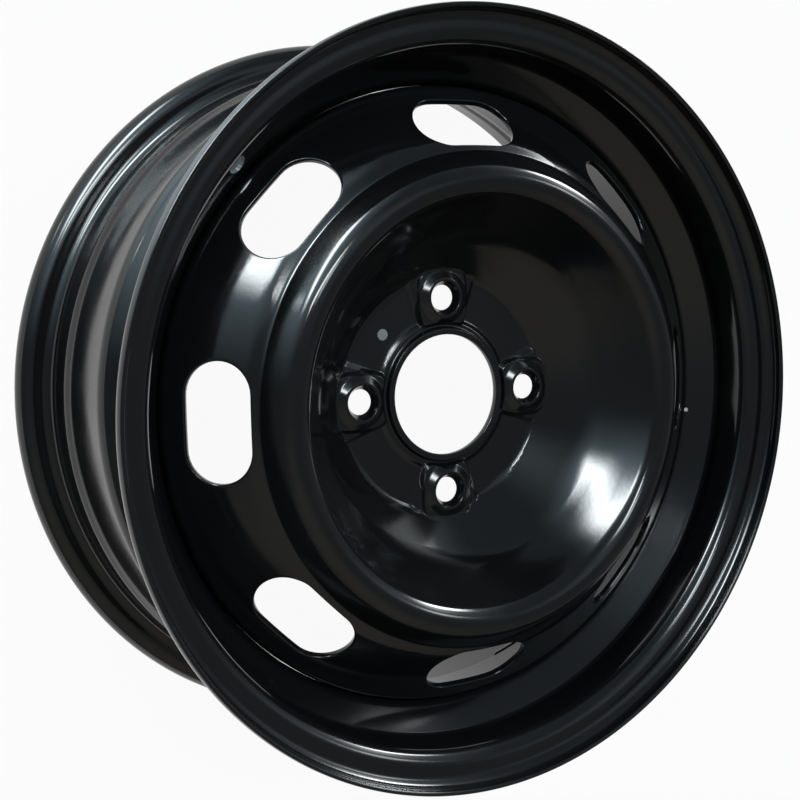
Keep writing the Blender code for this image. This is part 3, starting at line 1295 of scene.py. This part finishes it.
@dataclass
class VentPanel:
    """A panel of the vent cone with one oval slot punched square through it."""

    angle: float
    centre: Vector
    length: float
    width: float
    span: float
    columns: int
    rows: int
    roll: float
    burr: float
    front: Ring
    rear: Ring
    tries: int = 12
    lip_gap: float = 0.0004
    ring_shares: tuple[float, ...] = (0.86, 0.72, 0.59, 0.47, 0.36, 0.26, 0.17, 0.09, 0.03)
    burr_turns: tuple[float, ...] = (90.0, 60.0, 30.0, 0.0)

    def __post_init__(self) -> None:
        """Makes both faces ready to be read."""
        self.faces = {Side.FRONT: FacePath(self.front), Side.REAR: FacePath(self.rear)}

    def _flat(self, point: Vector, turn: float) -> Vector:
        """A surface point seen square to the slot.

        Args:
            point: The point as (radius, height).
            turn: Its turn about the wheel's axis.

        Returns:
            How far it lies across the slot's middle and down the slope from it.
        """
        down = (point.x * math.cos(turn) - self.centre.x) * math.cos(self.angle)
        down -= (point.y - self.centre.y) * math.sin(self.angle)
        return Vector((point.x * math.sin(turn), down))

    def _on_face(self, face: FacePath, flat: Vector) -> Vector:
        """The point of a face that lies under a point of the slot's own plane.

        Args:
            face: The face's section.
            flat: Point in the slot's plane.

        Returns:
            The point in space.
        """
        distance = face.lengths[-1] / 2
        point = face.at(distance)
        for _ in range(self.tries):
            turn = math.asin(flat.x / point.x)
            distance += flat.y - self._flat(point, turn).y
            point = face.at(distance)
        return turned(point, math.asin(flat.x / point.x))

    def _edge(self, face: FacePath) -> list[tuple[Vector, float]]:
        """The panel's edge on one face, anticlockwise from its foot.

        Args:
            face: The face's section.

        Returns:
            Section points with their turns.
        """
        half = self.span / 2
        total = face.lengths[-1]
        edge = []
        for start, end, side in ((total, 0.0, -half), (0.0, total, half)):
            corner = face.at(start)
            edge += [(corner, mix(side, -side, i / self.columns)) for i in range(self.columns)]
            edge += [(face.at(mix(start, end, i / self.rows)), -side) for i in range(self.rows)]
        return edge

    def rings(self) -> list[Ring]:
        """Rings from the front edge in to the slot, through its wall, and out to the rear edge.

        Returns:
            The rings, all with the same number of points.
        """
        edges = {side: self._edge(face) for side, face in self.faces.items()}
        flats = {side: [self._flat(point, turn) for point, turn in edge] for side, edge in edges.items()}
        spine = (self.length - self.width) / 2
        feet = [Vector((min(spine, max(-spine, flat.x)), 0.0)) for flat in flats[Side.FRONT]]
        aims = [(flat - foot).normalized() for flat, foot in zip(flats[Side.FRONT], feet)]
        slot = [foot + aim * self.width / 2 for foot, aim in zip(feet, aims)]

        def spread(side: Side, lip: float) -> list[Ring]:
            """Rings from the panel's edge in to the start of the slot's rounded lip.

            Args:
                side: Which face of the sheet.
                lip: How far the lip reaches out from the slot.

            Returns:
                The rings, the panel's edge first.
            """
            starts = [spot + aim * (lip + self.lip_gap) for spot, aim in zip(slot, aims)]
            made = [[turned(point, turn) for point, turn in edges[side]]]
            for share in self.ring_shares:
                made.append([self._on_face(self.faces[side], start.lerp(flat, share))
                             for start, flat in zip(starts, flats[side])])
            return made

        def through(offset: float, depth: float) -> Ring:
            """A ring on the slot's lip or wall.

            Args:
                offset: How far it lies outside the slot.
                depth: How far it lies below the front.

            Returns:
                The ring.
            """
            ring = []
            for spot, aim in zip(slot, aims):
                front, rear = (self._on_face(face, spot + aim * offset) for face in self.faces.values())
                ring.append(front.lerp(rear, depth / (rear - front).length))
            return ring

        front, rear = (self._on_face(face, Vector((0.0, 0.0))) for face in self.faces.values())
        thickness = (front - rear).length
        rings = spread(Side.FRONT, self.roll)
        for turn in map(math.radians, EDGE_TURNS):
            rings.append(through(self.roll * (1 - math.sin(turn)), self.roll * (1 - math.cos(turn))))
        for turn in map(math.radians, self.burr_turns):
            inset = self.burr * (1 - math.cos(turn))
            rings.append(through(self.burr * (1 - math.sin(turn)), thickness - inset))
        return rings + spread(Side.REAR, self.burr)[::-1]


@dataclass
class WeldBeads:
    """Rippled fillet welds in the corner between the disc's flange and the rim's well."""

    sizes: WheelSizes
    flange_end: float
    count: int = 8
    radius: float = 0.0020
    length: float = 0.045
    ripples: int = 26
    ripple_steps: int = 5
    ripple_low: float = 0.90
    tip_radius: float = 0.00004
    sides: int = 20
    sharp: float = 40.0

    def build(self) -> list[bpy.types.Object]:
        """Models one bead and copies it round the well.

        Returns:
            The beads.
        """
        path_radius = self.sizes.well_bore - self.sizes.press_gap - self.radius
        level = self.flange_end - self.sizes.press_gap - self.radius
        half = self.length / 2 / path_radius
        steps = self.ripples * self.ripple_steps
        rings = []
        for i in range(steps + 1):
            share = i / steps
            end = min(1.0, min(share, 1.0 - share) * self.length / self.radius)
            size = math.sqrt(1.0 - (1.0 - end) ** 2)
            wave = share * self.ripples % 1.0
            swell = mix(self.ripple_low, 1.0, math.sqrt(1.0 - (2.0 * wave - 1.0) ** 2))
            tube = max(self.tip_radius, self.radius * size * swell)
            ring = []
            for k in range(self.sides):
                around = math.tau * k / self.sides
                spot = Vector((path_radius + tube * math.cos(around), level + tube * math.sin(around)))
                ring.append(turned(spot, mix(-half, half, share)))
            rings.append(ring)
        bead = weld_together("weld", [grow_rings("weld", rings, capped=True)])
        bead.data.transform(Matrix.Rotation(math.pi / self.count, 4, "Z"))
        beads = copies_about_axis(bead, self.count)
        for i, item in enumerate(beads):
            item.name = f"weld_ripple_{i + 1}"
            shade(item, self.sharp)
        return beads


@dataclass
class MarksAndPaintedGlint:
    """The inspector's pale dot on the hub, and a small nib in the paint of the rim's wall whose white colour
    is a painted glint.
    """

    dot_radius: float = 0.00315
    dot_circle: float = 0.0515
    dot_turn: float = math.radians(136.7)
    nib_radius: float = 0.0012
    nib_circle: float = 0.1735
    nib_turn: float = math.radians(-7.7)
    height: float = 0.00012
    lift: float = 0.00001
    sides: int = 48
    dot_colour: Colour = (0.30, 0.33, 0.34, 1.0)
    # The nib's white is a painted glint, not the colour of the paint
    painted_glint_colour: Colour = (0.80, 0.82, 0.82, 1.0)
    profile: tuple[tuple[float, float], ...] = (
        (0.98, 0.0), (1.0, 0.35), (0.97, 0.8), (0.9, 1.0), (0.5, 1.08), (0.1, 1.1))
    sharp: float = 60.0

    def dot(self, floor: float) -> bpy.types.Object:
        """Models the dot.

        Args:
            floor: Level of the hub floor's front between the bolts.

        Returns:
            The dot.
        """
        place = Matrix.Rotation(self.dot_turn, 4, "Z") @ Matrix.Translation((self.dot_circle, 0.0, floor))
        return self._dab("inspection_dot", self.dot_radius, place)

    def nib(self, rim: Rim) -> bpy.types.Object:
        """Models the nib, whose white colour is a painted glint.

        Args:
            rim: The rim that it sits on.

        Returns:
            The nib.
        """
        spot, off = rim.wall_spot(self.nib_circle)
        place = Matrix.Rotation(self.nib_turn, 4, "Z") @ Matrix.Translation((spot.x, 0.0, spot.y))
        place = place @ Matrix.Rotation(math.atan2(off.x, off.y), 4, "Y")
        return self._dab("painted_glint_nib", self.nib_radius, place)

    def _dab(self, name: str, radius: float, place: Matrix) -> bpy.types.Object:
        """A thin round dab of paint with a rounded edge.

        Args:
            name: The piece's name.
            radius: Its radius.
            place: Where it lies, with its own Z off the surface.

        Returns:
            The dab.
        """
        rings = []
        for reach, rise in self.profile:
            edge = Vector((radius * reach, self.height * rise + self.lift))
            rings.append([turned(edge, math.tau * k / self.sides) for k in range(self.sides)])
        dab = weld_together(name, [grow_rings(name, rings, capped=True)])
        dab.data.transform(place)
        shade(dab, self.sharp)
        return dab


def aimed(turn: float, rise: float, roll: float) -> Matrix:
    """The turn of a frame whose X axis points out from the wheel, rolled about that axis.

    Args:
        turn: Its turn about +Z, in degrees.
        rise: Its rise over the floor, in degrees.
        roll: Its roll, in degrees.

    Returns:
        The turn.
    """
    spin = Matrix.Rotation(math.radians(turn), 4, "Z") @ Matrix.Rotation(-math.radians(rise), 4, "Y")
    return spin @ Matrix.Rotation(math.radians(roll), 4, "X")


@dataclass(frozen=True)
class Window:
    """A soft-edged bright patch of the room, seen from the wheel. Angles are in degrees."""

    name: str
    turn: float
    rise: float
    roll: float
    half_size: tuple[float, float]
    softness: float
    colour: Triple
    strength: float

    def axes(self) -> tuple[Vector, Vector, Vector]:
        """Directions to the patch's middle, to its right edge and to its top."""
        spin = aimed(self.turn, self.rise, self.roll).to_3x3()
        return spin.col[0], spin.col[1], spin.col[2]


@dataclass(frozen=True)
class SoftPanel:
    """A soft-edged lamp that stands near the wheel and shows in its gloss alone. Angles are in degrees."""

    name: str
    turn: float
    rise: float
    distance: float
    roll: float
    half_size: tuple[float, float]
    softness: float
    colour: Triple
    strength: float
    target: Triple = (0.0, 0.0, 0.15)

    def build(self) -> bpy.types.Object:
        """Stands the lamp square to the line from the wheel's middle.

        Returns:
            The lamp's plane.
        """
        deselect()
        bpy.ops.mesh.primitive_plane_add(size=2.0)
        item = bpy.context.object
        item.name = self.name
        # Stood up, the plane faces along X, with its own X across and its own Y upwards.
        upright = Matrix(((0.0, 0.0, 1.0), (1.0, 0.0, 0.0), (0.0, 1.0, 0.0))).to_4x4()
        wide, tall = (half + self.softness for half in self.half_size)
        place = Matrix.Translation(self.target) @ aimed(self.turn, self.rise, self.roll)
        place = place @ Matrix.Translation((self.distance, 0.0, 0.0))
        item.data.transform(place @ upright @ Matrix.Diagonal((wide, tall, 1.0, 1.0)))
        item.data.materials.append(self._glow(wide, tall))
        item.visible_camera = False
        item.visible_diffuse = False
        item.visible_transmission = False
        item.visible_shadow = False
        return item

    def _glow(self, wide: float, tall: float) -> bpy.types.Material:
        """A see-through glow that fades out towards the plane's edges.

        Args:
            wide: Half the plane's width.
            tall: Half its height.

        Returns:
            The material.
        """
        material, wiring = new_material(self.name)
        nodes = material.node_tree.nodes
        nodes.remove(nodes["Principled BSDF"])
        middle = 0.5
        split = wiring.node("SeparateXYZ", wiring.node("TexCoord").outputs["UV"])
        fades = []
        for i, half in enumerate((wide, tall)):
            apart = wiring.number("ABSOLUTE", wiring.number("SUBTRACT", split.outputs[i], middle))
            fades.append(wiring.soft_step(apart, middle, middle - self.softness / half))
        strength = wiring.number("MULTIPLY", wiring.number("MULTIPLY", *fades), self.strength)
        glow = wiring.node("Emission", self.colour + (1.0,), strength)
        clear = wiring.node("BsdfTransparent")
        both = wiring.node("AddShader", glow.outputs["Emission"], clear.outputs["BSDF"])
        wiring.feed(nodes["Material Output"], both.outputs["Shader"])
        return material


class RoomLight(Wiring):
    """Adds up the light of a room's patches in the world's node tree."""

    def __init__(self, tree: bpy.types.NodeTree) -> None:
        """Starts from the direction of each ray.

        Args:
            tree: The world's node tree.
        """
        super().__init__(tree)
        self.direction = self.node("TexCoord").outputs["Generated"]
        self.total: bpy.types.NodeSocket | None = None

    def _add(self, light: bpy.types.NodeSocket) -> None:
        """Adds one light to the room's."""
        self.total = light if self.total is None else self.vector("ADD", self.total, light).outputs["Vector"]

    def fill(self, level: Triple, rise: Triple) -> None:
        """Lights the whole room dimly, a little brighter towards one side.

        Args:
            level: The room's light.
            rise: How much brighter it gets towards the wheel's +Y side.
        """
        side = self.vector("DOT_PRODUCT", self.direction, (0.0, 1.0, 0.0)).outputs["Value"]
        slope = self.vector("SCALE", rise)
        self.feed(slope, Scale=side)
        self._add(self.vector("ADD", slope.outputs["Vector"], level).outputs["Vector"])

    def _within(self, across: bpy.types.NodeSocket, ahead: bpy.types.NodeSocket, half: float,
                softness: float) -> bpy.types.NodeSocket:
        """1 inside a patch along one of its axes, 0 outside, with a soft step at its edge.

        Args:
            across: The ray's part along that axis.
            ahead: Its part towards the patch's middle.
            half: Half the patch's size, in degrees.
            softness: Half the width of its edge, in degrees.

        Returns:
            The step.
        """
        angle = self.number("ABSOLUTE", self.number("ARCTAN2", across, ahead))
        return self.soft_step(angle, math.radians(half + softness), math.radians(half - softness))

    def add(self, window: Window) -> None:
        """Adds one bright patch.

        Args:
            window: The patch.
        """
        ahead, right, top = (self.vector("DOT_PRODUCT", self.direction, tuple(axis)).outputs["Value"]
                             for axis in window.axes())
        wide = self._within(right, ahead, window.half_size[0], window.softness)
        tall = self._within(top, ahead, window.half_size[1], window.softness)
        glow = self.vector("SCALE", tuple(v * window.strength for v in window.colour))
        self.feed(glow, Scale=self.number("MULTIPLY", wide, tall))
        self._add(glow.outputs["Vector"])

    def finish(self) -> None:
        """Sends the sum to the world's background, which the camera itself sees as white."""
        seen = self.node("LightPath").outputs["Is Camera Ray"]
        shown = self.node("MixRGB", seen, self.total, WHITE)
        self.feed(self.tree.nodes["Background"], shown.outputs["Color"], 1.0)


@dataclass
class Studio:
    """Camera, floor, sky and lamps."""

    camera_right: Triple = (0.8611, 0.0276, 0.5077)
    camera_up: Triple = (0.0, 0.9985, -0.0544)
    camera_back: Triple = (-0.5085, 0.0468, 0.8598)
    camera_place: Triple = (-0.4105, 0.0639, 0.5858)
    turn: float = math.radians(-3.6)
    lift: float = 0.1744
    lens: float = 61.145
    sensor: float = 36.0
    shift_x: float = 0.00747
    shift_y: float = -0.0727
    clip_start: float = 0.01
    floor_radius: float = 6.0
    floor_drop: float = 0.0002
    floor_sides: int = 96
    floor_colour: Colour = (0.80, 0.80, 0.80, 1.0)
    floor_roughness: float = 0.9
    floor_white: float = 0.94
    room_fill: Triple = (0.17, 0.19, 0.205)
    room_rise: Triple = (0.03, 0.055, 0.08)
    panels: tuple[SoftPanel, ...] = (
        SoftPanel("key_panel", 126.3, 14.4, 0.635, 31.4, (0.205, 0.028), 0.080, (0.91, 0.98, 1.0), 50.0),
        SoftPanel("glow_panel", 132.8, 4.4, 0.288, -3.9, (0.020, 0.095), 0.238, (0.66, 0.90, 1.0), 8.5),
    )
    windows: tuple[Window, ...] = (
        Window("upper_lamp", 118.0, 60.5, -12.0, (10.0, 2.6), 2.4, (0.93, 0.99, 1.0), 28.0),
        Window("ceiling_lamp", 100.0, 70.0, 0.0, (5.0, 2.5), 2.5, (0.93, 0.99, 1.0), 12.0),
        Window("edge_lamp", 143.0, 4.5, 0.0, (2.5, 2.0), 2.5, (0.88, 0.97, 1.0), 12.0),
        Window("side_lamp", 31.0, 9.0, 3.0, (2.5, 18.0), 6.0, (0.97, 1.0, 1.0), 6.0),
        Window("low_side_lamp", 36.0, 0.0, 0.0, (6.0, 12.0), 5.0, (0.97, 1.0, 1.0), 34.0),
        Window("high_side_lamp", 22.0, 39.0, 0.0, (3.5, 4.0), 3.0, (0.97, 1.0, 1.0), 9.0),
        Window("side_glow", 39.0, 8.5, 28.5, (12.9, 42.2), 10.8, (0.85, 0.96, 1.0), 0.70),
        Window("upper_glow", 119.0, 51.3, -56.6, (54.6, 10.8), 12.1, (0.74, 0.92, 1.0), 0.50),
        Window("warm_wall", -109.0, 40.0, 0.0, (38.0, 30.0), 22.0, (1.0, 0.9, 0.72), 0.20),
    )

    def camera(self) -> None:
        """Sets the camera where the photographer's stood, seen from the wheel."""
        data = bpy.data.cameras.new("camera")
        data.lens = self.lens
        data.sensor_width = self.sensor
        data.shift_x = self.shift_x
        data.shift_y = self.shift_y
        data.clip_start = self.clip_start
        item = bpy.data.objects.new("camera", data)
        bpy.context.scene.collection.objects.link(item)
        axes = Matrix((self.camera_right, self.camera_up, self.camera_back)).transposed().to_4x4()
        spin = Matrix.Translation((0.0, 0.0, self.lift)) @ Matrix.Rotation(self.turn, 4, "Z")
        item.matrix_world = spin @ Matrix.Translation(self.camera_place) @ axes
        bpy.context.scene.camera = item

    def floor(self) -> bpy.types.Object:
        """Lays a plain pale floor that shows white and keeps a soft shadow.

        Returns:
            The floor.
        """
        deselect()
        bpy.ops.mesh.primitive_circle_add(vertices=self.floor_sides, radius=self.floor_radius,
                                          fill_type="NGON")
        item = bpy.context.object
        item.name = "studio_floor"
        item.data.transform(Matrix.Translation((0.0, 0.0, -self.floor_drop)))
        material, wiring = new_material("pale_floor")
        nodes = material.node_tree.nodes
        shader = nodes["Principled BSDF"]
        wiring.feed(shader, Base_Color=self.floor_colour, Roughness=self.floor_roughness)
        path = wiring.node("LightPath").outputs
        seen = wiring.number("MAXIMUM", path["Is Camera Ray"], path["Is Glossy Ray"])
        seen = wiring.number("MAXIMUM", seen, path["Is Transmission Ray"])
        share = wiring.number("MULTIPLY", seen, self.floor_white)
        glow = wiring.node("Emission", WHITE, 1.0)
        white = wiring.node("MixShader", share, shader.outputs["BSDF"], glow.outputs["Emission"])
        wiring.feed(nodes["Material Output"], white.outputs["Shader"])
        item.data.materials.append(material)
        return item

    def sky(self) -> None:
        """Surrounds the wheel with a dim room and its soft bright windows."""
        world = bpy.data.worlds.new("studio")
        bpy.context.scene.world = world
        world.use_nodes = True
        room = RoomLight(world.node_tree)
        room.fill(self.room_fill, self.room_rise)
        for window in self.windows:
            room.add(window)
        room.finish()

    def build(self) -> None:
        """Sets up the whole studio."""
        self.camera()
        self.floor()
        self.sky()
        for panel in self.panels:
            panel.build()
        bpy.context.scene.view_settings.view_transform = "Standard"


def dress(item: bpy.types.Object, material: bpy.types.Material, nodes: list[str]) -> None:
    """Gives a piece its material and its place in the model, and hides the solids that it stands for.

    Args:
        item: The piece.
        material: Its finish.
        nodes: The solids that it replaces.
    """
    item.data.materials.clear()
    item.data.materials.append(material)
    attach(item, BODY)
    if nodes:
        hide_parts(*nodes)
    report(item)


def main() -> None:
    """Builds the wheel's looks piece by piece."""
    logging.basicConfig(level=logging.INFO, format="%(name)s %(message)s")
    sizes = WheelSizes()
    paint = GlossPaint().material()
    rim = Rim(sizes)
    disc = Disc(sizes)
    dress(rim.build(), paint, ["rim"])
    dress(disc.build(), paint, ["disc"])
    beads = WeldBeads(sizes, sizes.floor_level + disc.cone_foot_rise - disc.flange)
    for i, bead in enumerate(beads.build()):
        dress(bead, paint, [f"weld_bead_{i + 1}"])
    marks_and_glint = MarksAndPaintedGlint()
    grey = MarkAndGlintPaint("marking_paint", marks_and_glint.dot_colour).material()
    # The nib's white paint is a painted glint
    white = MarkAndGlintPaint("painted_glint_paint", marks_and_glint.painted_glint_colour).material()
    dress(marks_and_glint.dot(sizes.floor_level - disc.land_drop), grey, [])
    dress(marks_and_glint.nib(rim), white, [])
    Studio().build()
    deselect()


if __name__ == "__main__":
    main()
